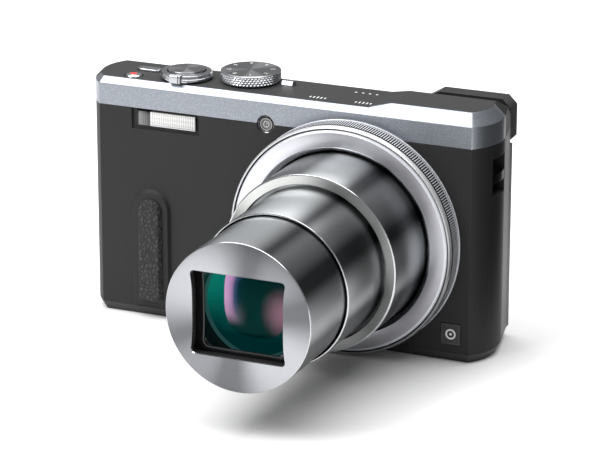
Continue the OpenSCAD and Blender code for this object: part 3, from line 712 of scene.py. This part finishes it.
def window_loop(bm, half_w, half_h, y, corner, bow):
    """The edges of the lens window: a rectangle with round corners and sides that bow inwards."""
    before = set(bm.verts)
    spots = [(-half_w, -half_h), (half_w, -half_h), (half_w, half_h), (-half_w, half_h)]
    verts = [bm.verts.new(Vector((lens.x + x, y, lens.z + z)) * MM) for x, z in spots]
    edges = [bm.edges.new((verts[i], verts[(i + 1) % 4])) for i in range(4)]
    bmesh.ops.subdivide_edges(bm, edges=edges, cuts=10)
    corners = []
    for v in [v for v in bm.verts if v not in before]:
        up = (v.co.z / MM - lens.z) / half_h
        side = (v.co.x / MM - lens.x) / half_w
        if abs(up) > 0.99 and abs(side) > 0.99:
            corners.append(v)
        elif abs(side) > 0.99:
            v.co.x -= math.copysign(bow * MM * (1 - up ** 4), side)
    bmesh.ops.bevel(bm, geom=corners, offset=corner * MM, offset_type="OFFSET", segments=5, profile=0.5,
                    affect="VERTICES", material=-1)
    after = set(bm.verts) - before
    return [e for e in bm.edges if e.verts[0] in after and e.verts[1] in after]


def pulled(bm, edges, move=(0, 0, 0), grow=(1, 1)):
    """Extrudes a loop of edges, moves it, and scales it about the lens axis."""
    made = bmesh.ops.extrude_edge_only(bm, edges=edges)["geom"]
    verts = [g for g in made if isinstance(g, bmesh.types.BMVert)]
    bmesh.ops.translate(bm, vec=Vector(move) * MM, verts=verts)
    centre = Vector((lens.x, 0, lens.z)) * MM
    bmesh.ops.scale(bm, vec=(grow[0], 1, grow[1]), space=Matrix.Translation(-centre), verts=verts)
    return [g for g in made if isinstance(g, bmesh.types.BMEdge)]


def ring_loop(bm, r, y, steps=200):
    made = bmesh.ops.create_circle(bm, cap_ends=False, segments=steps, radius=r * MM)["verts"]
    bmesh.ops.rotate(bm, cent=(0, 0, 0), matrix=Matrix.Rotation(math.pi / 2, 3, "X"), verts=made)
    bmesh.ops.translate(bm, vec=Vector((lens.x, y, lens.z)) * MM, verts=made)
    ring = set(made)
    return [e for e in bm.edges if e.verts[0] in ring and e.verts[1] in ring]


def make_bezel():
    """Front plate of the lens, with its window cut out and rounded edges."""
    half_w, half_h, chamfer = 12.2, 10.2, 0.16
    bm = bmesh.new()
    inside = window_loop(bm, half_w, half_h, inner_y + 1.6, 1.3, 0.75)
    back_inner = list(inside)
    loop = pulled(bm, inside, (0, -1.3, 0))
    loop = pulled(bm, loop, (0, -0.3, 0), (1 + chamfer / half_w, 1 + chamfer / half_h))
    rim = ring_loop(bm, 18.25, inner_y)
    bmesh.ops.triangle_fill(bm, use_beauty=True, use_dissolve=False, edges=loop + rim)
    step = pulled(bm, rim, (0, 0.06, 0), (18.42 / 18.25,) * 2)
    step = pulled(bm, step, (0, 0.14, 0), (18.53 / 18.42,) * 2)
    step = pulled(bm, step, (0, 0.15, 0), (INNER_R / 18.53,) * 2)
    step = pulled(bm, step, (0, 1.25, 0))
    bmesh.ops.triangle_fill(bm, use_beauty=True, use_dissolve=False, edges=step + back_inner)
    bmesh.ops.remove_doubles(bm, verts=bm.verts, dist=1e-6)
    bmesh.ops.recalc_face_normals(bm, faces=bm.faces)

    def pick(at, normal):
        if at.y > inner_y + 0.45 and radius(at) < 18.5:
            return 2
        if normal.y > -0.95 and radius(at) < 16.2:
            return 1
        if radius(at) > 18.35 and at.y < inner_y + 0.4:
            return 1
        return 0 if at.y < inner_y + 0.4 else 3
    piece("bezel_plate", bm, [bezel_metal, lip_metal, black_and_shade_fill, barrel_metal], "inner_barrel",
          ("front_bezel",), smooth=25, pick=pick)


def make_surround():
    """Black baffle behind the window, stepping in towards the glass."""
    y0 = inner_y + 3.4
    bm = bmesh.new()
    hole = window_loop(bm, 11.2, 10.0, y0, 1.8, 0.4)
    rim = ring_loop(bm, 17.8, y0, 120)
    bmesh.ops.triangle_fill(bm, use_beauty=True, use_dissolve=False, edges=hole + rim)
    edge = pulled(bm, hole, (0, 0.35, 0), (0.985, 0.985))
    edge = pulled(bm, edge, (0, 0.25, 0))
    edge = pulled(bm, edge, (0, 0.05, 0), (0.97, 0.972))
    edge = pulled(bm, edge, (0, 0.5, 0))
    outer = pulled(bm, rim, (0, 8.0, 0))
    outer = pulled(bm, outer, (0, 0, 0), (13.15 / 17.8,) * 2)
    inner = pulled(bm, outer, (0, -6.6, 0))
    bmesh.ops.triangle_fill(bm, use_beauty=True, use_dissolve=False, edges=inner + edge)
    bmesh.ops.remove_doubles(bm, verts=bm.verts, dist=1e-6)
    bmesh.ops.recalc_face_normals(bm, faces=bm.faces)
    piece("lens_baffle", bm, gloss_black, "inner_barrel", ("lens_surround",), smooth=30)


def dome(r_rim, sphere, y_rim, back, steps=12):
    """Outline of a lens element that bulges forwards, with its flat back."""
    sag = sphere - math.sqrt(sphere ** 2 - r_rim ** 2)
    curve = []
    for i in range(steps + 1):
        r = r_rim * i / steps
        curve.append((r, y_rim - sag + sphere - math.sqrt(sphere ** 2 - r ** 2)))
    return curve + [(r_rim, back), (0.0, back)]


def make_glass():
    """The clear front lens, and the element just behind it, which carries glowing painted reflections."""
    y0 = low("front_lens").y
    rim_y = y0 + 2.76
    piece("front_glass", turned(dome(GLASS_R, 32.0, rim_y, rim_y + 0.8), lens, steps=96), front_coating,
          "inner_barrel", ("front_lens",), smooth=50)
    piece("second_element", turned(dome(13.1, 90.0, rim_y + 1.85, rim_y + 1.9), lens, steps=96),
          glowing_reflections, "inner_barrel", smooth=50)


make_control_ring()
make_collar()
make_barrels()
make_bezel()
make_surround()
make_glass()


# ---- Top controls ----

def make_dial():
    """Mode dial: rows of small pyramids round its side and plain numbers on its top."""
    top = high("mode_dial").z
    foot = deck_z + 0.2
    r = 7.8
    bm = turned([(0, foot), (7.3, foot), (7.5, foot + 0.1), (7.5, top - 0.34), (7.7, top - 0.3),
                 (7.72, top - 0.2), (7.35, top - 0.02), (7.15, top), (6.9, top - 0.05), (0, top - 0.05)],
                dial, "Z", 128)
    rows, studs = 4, 52
    tall = (top - 0.34 - foot - 0.15) / rows
    for row in range(rows):
        z0 = foot + 0.12 + row * tall
        band = turned([(7.4, z0), (7.52, z0), (7.52, z0 + tall), (7.4, z0 + tall)], dial, "Z", studs,
                      start=(row % 2) * math.pi / studs)
        faces = [f for f in band.faces if math.hypot(*(f.calc_center_median() / MM - dial).xy) > 7.48
                 and abs(f.normal.z) < 0.3]
        bmesh.ops.inset_individual(band, faces=faces, thickness=0.06 * MM, depth=0.04 * MM)
        bmesh.ops.poke(band, faces=faces, offset=0.24 * MM)
        join(bm, band)

    def pick(at, normal):
        return 1 if math.hypot(at.x - dial.x, at.y - dial.y) > 7.1 and at.z < top - 0.25 else 0
    piece("dial_cap", bm, [dial_metal, lever_metal], "mode_dial", ("mode_dial",), smooth=30,
          pick=pick)
    # plain numbers round the rim of the dial
    for i in range(8):
        angle = math.tau * (i + 0.5) / 8
        body = bpy.data.curves.new("spare_number", "FONT")
        body.body = str(i + 1)
        body.size = 1.7 * MM
        body.align_x, body.align_y = "CENTER", "CENTER"
        body.extrude = 0.02 * MM
        spare = bpy.data.objects.new("spare", body)
        mesh = bpy.data.meshes.new_from_object(spare)
        bpy.data.objects.remove(spare)
        mesh.transform(Matrix.Translation(Vector((dial.x, dial.y, top - 0.02)) * MM)
                       @ Matrix.Rotation(angle, 4, "Z") @ Matrix.Translation((0, -5.7 * MM, 0)))
        bm = bmesh.new()
        bm.from_mesh(mesh)
        bpy.data.meshes.remove(mesh)
        piece(f"dial_number_{i + 1}", bm, mark_white, "mode_dial")


def make_lever():
    """Zoom lever: a ring round the release, with a knurled tab in front."""
    foot, top = deck_z + 0.2, high("zoom_lever").z - 0.3
    bm = turned([(5.02, foot), (6.5, foot), (6.75, foot + 0.25), (6.8, foot + 0.55), (6.72, foot + 0.85),
                 (6.55, foot + 0.95), (6.55, foot + 1.1), (6.4, top - 0.1), (5.9, top + 0.1),
                 (5.15, top + 0.1), (5.02, top)], lever, "Z", 128)
    tab = slab((lever.x - 1.6, low("zoom_lever").y, foot + 0.1), (lever.x + 1.6, lever.y - 5.4, foot + 2.05))
    soften(tab, 0.2, segments=3)
    join(bm, tab)
    for i in range(5):
        for j in range(3):
            at = (lever.x - 1.2 + i * 0.6, low("zoom_lever").y + 0.35 + j * 0.45)
            stud = slab((at[0] - 0.2, at[1] - 0.16, foot + 2.0), (at[0] + 0.2, at[1] + 0.16, foot + 2.06))
            top_face = [f for f in stud.faces if f.normal.z > 0.9]
            bmesh.ops.poke(stud, faces=top_face, offset=0.14 * MM)
            join(bm, stud)
    split = lever.x + 1.0

    # A narrow strip across the tab is coloured black: painted shade standing for a split.
    def pick(at, normal):
        return 1 if abs(at.x - split) < 0.12 and at.y < lever.y - 6 else 0
    for x in (split - 0.12, split + 0.12):
        cut = [*bm.verts, *bm.edges, *bm.faces]
        bmesh.ops.bisect_plane(bm, geom=cut, plane_co=Vector((x, 0, 0)) * MM, plane_no=(1, 0, 0))
    piece("lever_ring", bm, [lever_metal, black_and_shade_fill], "zoom_lever", ("zoom_lever",), smooth=30,
          pick=pick)


def make_buttons():
    top = high("shutter_button").z
    bm = turned([(0, top - 0.04), (3.2, top - 0.1), (4.2, top - 0.12), (4.55, top - 0.2), (4.7, top - 0.42),
                 (4.7, top - 0.9), (2, top - 0.9), (2, 61), (0, 61)], lever, "Z", 128)
    piece("shutter_cap", bm, shutter_metal, "shutter_button", ("shutter_button",), smooth=40)
    top = high("record_button").z
    bm = turned([(0, top), (0.9, top - 0.02), (1.0, top - 0.07), (1.6, top - 0.12), (2.0, top - 0.28),
                 (2.2, top - 0.6), (2.2, 62.3), (0, 62.3)], record, "Z", 64)
    piece("record_cap", bm, record_cap, "record_button", ("record_button",), smooth=40)


make_dial()
make_lever()
make_buttons()


# ---- Front details ----

def make_pad():
    """Rubber grip strip: a leather-grained face, with its sides in black, painted shade that outlines it."""
    cover("grip_strip", "grip_pad", [leather, black_and_shade_fill], width=0.35,
          pick=lambda at, normal: 0 if normal.y < -0.45 else 1)


def make_lamp():
    y = low("focus_lamp_lens").y
    bm = turned([(0, y + 0.5), (0.35, y + 0.45), (0.6, y + 0.3), (0.85, y + 0.3), (1.0, y + 0.5),
                 (1.25, y + 0.5), (1.45, y + 0.15), (1.7, y + 0.15), (1.85, y + 0.35), (2.05, y + 0.1),
                 (2.25, y), (2.25, y + 1.9), (0, y + 1.9)], lamp, steps=96)
    piece("lamp_lens", bm, lamp_glass, "camera_body", ("focus_lamp_lens",), smooth=30)


def make_flash():
    """Flash diffuser, with the metal ledge under it."""
    lo, hi = flash_low, flash_high
    bm = slab(lo, hi)
    soften(bm, 0.12)
    piece("flash_lens", bm, diffuser, "camera_body", ("flash_window",))
    ledge = slab((lo.x + 0.22 * (hi.x - lo.x), lo.y - 0.06, lo.z + 0.05),
                 (hi.x - 0.3, lo.y + 0.2, lo.z + 0.4))
    piece("flash_ledge", soften(ledge, 0.04), satin_key, "camera_body")


def make_top_marks():
    """Pale strips set under the microphone slots, and pale plugs in the small speaker holes."""
    bm = bmesh.new()
    for centre in (8.0, 20.3):
        for i in range(-2, 3):
            reach = 0.8 - 0.14 * abs(i)
            join(bm, slab((centre + i - 0.19, -6.8 - reach, deck_z - 0.5),
                          (centre + i + 0.19, -6.8 + reach, deck_z - 0.02)))
    piece("microphone_slot_fill", soften(bm, 0.05), mark_white, "camera_body")
    bm = bmesh.new()
    for i in range(4):
        at = (17.8 + (i - 1.5) * 1.9, 1.4)
        join(bm, turned([(0, deck_z - 0.03), (0.36, deck_z - 0.06), (0.38, deck_z - 0.5), (0, deck_z - 0.5)],
                        (at[0], at[1], 0), "Z", 20))
    piece("speaker_hole_fill", bm, mark_white, "camera_body")


make_pad()
make_lamp()
make_flash()
make_top_marks()


# ---- Back ----

def make_rear_dial():
    """Rear dial; every other face of its rim chamfer is inset with no depth, so the rim stays plain."""
    out, foot = high("rear_dial").y, low("rear_dial").y
    r = 8.5
    bm = turned([(4.9, foot), (r - 0.15, foot), (r, foot + 0.1), (r, out - 0.45), (r - 0.4, out - 0.05),
                 (r - 0.7, out), (5.3, out - 0.1), (5.0, out - 0.25), (4.9, out - 0.5)], wheel, steps=144)
    faces = [f for f in bm.faces if abs(math.hypot(f.calc_center_median().x / MM - wheel.x,
             f.calc_center_median().z / MM - wheel.z) - (r - 0.2)) < 0.15 and f.normal.y > 0.2]
    chosen = [f for i, f in enumerate(faces) if int(math.floor(math.atan2(
        f.calc_center_median().z / MM - wheel.z, f.calc_center_median().x / MM - wheel.x)
        / (math.tau / 144) + 1e-3)) % 2 == 0]
    bmesh.ops.inset_individual(bm, faces=chosen, thickness=0.04 * MM, depth=0.0)
    piece("rear_wheel", bm, steel, "rear_dial", ("rear_dial",), smooth=30)


def make_keys():
    """The round buttons on the back, slightly domed."""
    for node in ("set_button", "playback_button", "wireless_button", "display_button", "menu_button",
                 "viewfinder_button"):
        lo, hi, at = low(node), high(node), middle(node)
        r = (hi.x - lo.x) / 2
        bm = turned([(0, lo.y), (r, lo.y), (r, hi.y - 0.3), (r - 0.08, hi.y - 0.1), (r - 0.3, hi.y),
                     (r * 0.4, hi.y - 0.05), (0, hi.y - 0.08)], at, steps=64)
        piece(node + "_cap", bm, black_plastic, node, (node,), smooth=40)


make_rear_dial()
make_keys()


# ---- CAD pieces that keep their shape and take a material ----

COATS = {
    "flash_reflector": aluminium, "flash_capacitor": cell_wrap, "lens_housing": black_and_shade_fill, "zoom_motor": steel,
    "sensor_board": board, "main_board": board, "chassis": aluminium, "display_panel": gloss_black,
    "viewfinder_housing": black_and_shade_fill, "eyepiece_lens": eyepiece_glass, "speaker": black_and_shade_fill,
    "strap_lug": lug_metal,
    "battery": cell_wrap, "memory_card": black_plastic, "tripod_socket": steel, "screws": steel,
    "hinge_pins": steel, "data_socket": steel, "cam_ring": aluminium, "blade_upper_front": black_and_shade_fill,
    "blade_upper_rear": black_and_shade_fill, "blade_lower_front": black_and_shade_fill, "blade_lower_rear": black_and_shade_fill,
    "dioptre_wheel": black_plastic, "door_lock": steel,
}
for node, coat in COATS.items():
    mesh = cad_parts[node].data
    mesh.materials.clear()
    mesh.materials.append(coat)


# ---- Floor, light and camera ----

def floor_coat():
    c = Coat("paper_floor")
    fine = c.noise(c.shifted((0, 0, 0)), 0.8, 3.0)
    c.finish(base_color=c.mix(fine, (0.86, 0.86, 0.86), (0.89, 0.89, 0.89)), roughness=0.75 + 0.1 * fine)
    return c.material


bm = bmesh.new()
bmesh.ops.create_grid(bm, x_segments=4, y_segments=4, size=6.0)
mesh = bpy.data.meshes.new("floor")
bm.to_mesh(mesh)
bm.free()
mesh.materials.append(floor_coat())
floor = bpy.data.objects.new("floor", mesh)
bpy.context.scene.collection.objects.link(floor)

world = bpy.data.worlds.new("studio")
world.use_nodes = True
world.node_tree.nodes["Background"].inputs[0].default_value = (1, 1, 1, 1)
world.node_tree.nodes["Background"].inputs[1].default_value = 0.3
bpy.context.scene.world = world
bpy.context.scene.view_settings.view_transform = "Standard"


def soft_light(name, at, aim, size, power):
    lamp_data = bpy.data.lights.new(name, "AREA")
    lamp_data.shape = "RECTANGLE"
    lamp_data.size, lamp_data.size_y = size
    lamp_data.energy = power
    made = bpy.data.objects.new(name, lamp_data)
    made.location = at
    made.rotation_euler = (Vector(aim) - Vector(at)).to_track_quat("-Z", "Y").to_euler()
    bpy.context.scene.collection.objects.link(made)


soft_light("key_softbox", (-0.55, -0.55, 0.85), (0, 0, 0.03), (0.7, 0.5), 9.0)
soft_light("top_softbox", (0.0, 0.1, 1.1), (0, 0, 0.03), (1.7, 1.4), 24.0)

# A black card close to the lens end keeps that side dark; the camera does not see it.
CARD_X = 78
bm = slab((CARD_X, -20, 0), (CARD_X + 0.5, 220, 160))
mesh = bpy.data.meshes.new("black_card")
bm.to_mesh(mesh)
bm.free()
mesh.materials.append(black_and_shade_fill)
card = bpy.data.objects.new("black_card", mesh)
bpy.context.scene.collection.objects.link(card)
card.visible_camera = False
card.visible_shadow = False

TARGET = Vector((6.97, front_y, 29.58)) * MM
AZIMUTH, ELEVATION, DISTANCE = math.radians(23.392), math.radians(18.501), 790.68 * MM
camera_data = bpy.data.cameras.new("camera")
camera_data.lens = 184.02
camera_data.sensor_width = 36.0
camera_data.clip_start = 0.05
camera_data.clip_end = 50.0
camera = bpy.data.objects.new("camera", camera_data)
away = Vector((math.sin(AZIMUTH) * math.cos(ELEVATION), -math.cos(AZIMUTH) * math.cos(ELEVATION),
               math.sin(ELEVATION)))
camera.location = TARGET + away * DISTANCE
camera.rotation_euler = (-away).to_track_quat("-Z", "Y").to_euler()
camera.rotation_euler.rotate_axis("Z", math.radians(0.077))
bpy.context.scene.collection.objects.link(camera)
bpy.context.scene.camera = camera
